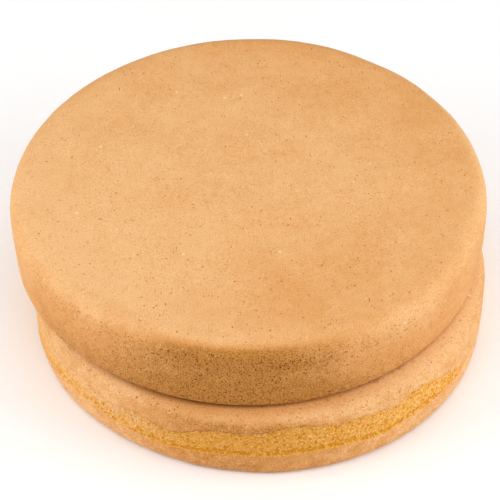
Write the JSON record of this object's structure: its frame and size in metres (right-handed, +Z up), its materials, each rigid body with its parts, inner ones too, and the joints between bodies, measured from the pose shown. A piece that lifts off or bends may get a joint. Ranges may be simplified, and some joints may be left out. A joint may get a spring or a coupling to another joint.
{
  "type": "layer cake",
  "caption": "Plain layer cake: round pan-baked sponge layers stacked without icing, the lower one's side crust partly torn away to show the crumb.",
  "frame": {"origin": "middle of the cake's footprint, on the surface that the lower layer stands on", "axes": "+Z up, -Y towards the front, where the crust is torn and the upper layer stands back, +X to the right"},
  "size_m": [0.2316, 0.2376, 0.0801],
  "materials": {
    "lower_crust": "matte",
    "upper_crust": "matte",
    "crumb": "matte"
  },
  "bodies": {
    "root": {"lower_layer": "lower_crust", "upper_layer": "upper_crust"}
  },
  "joints": []
}
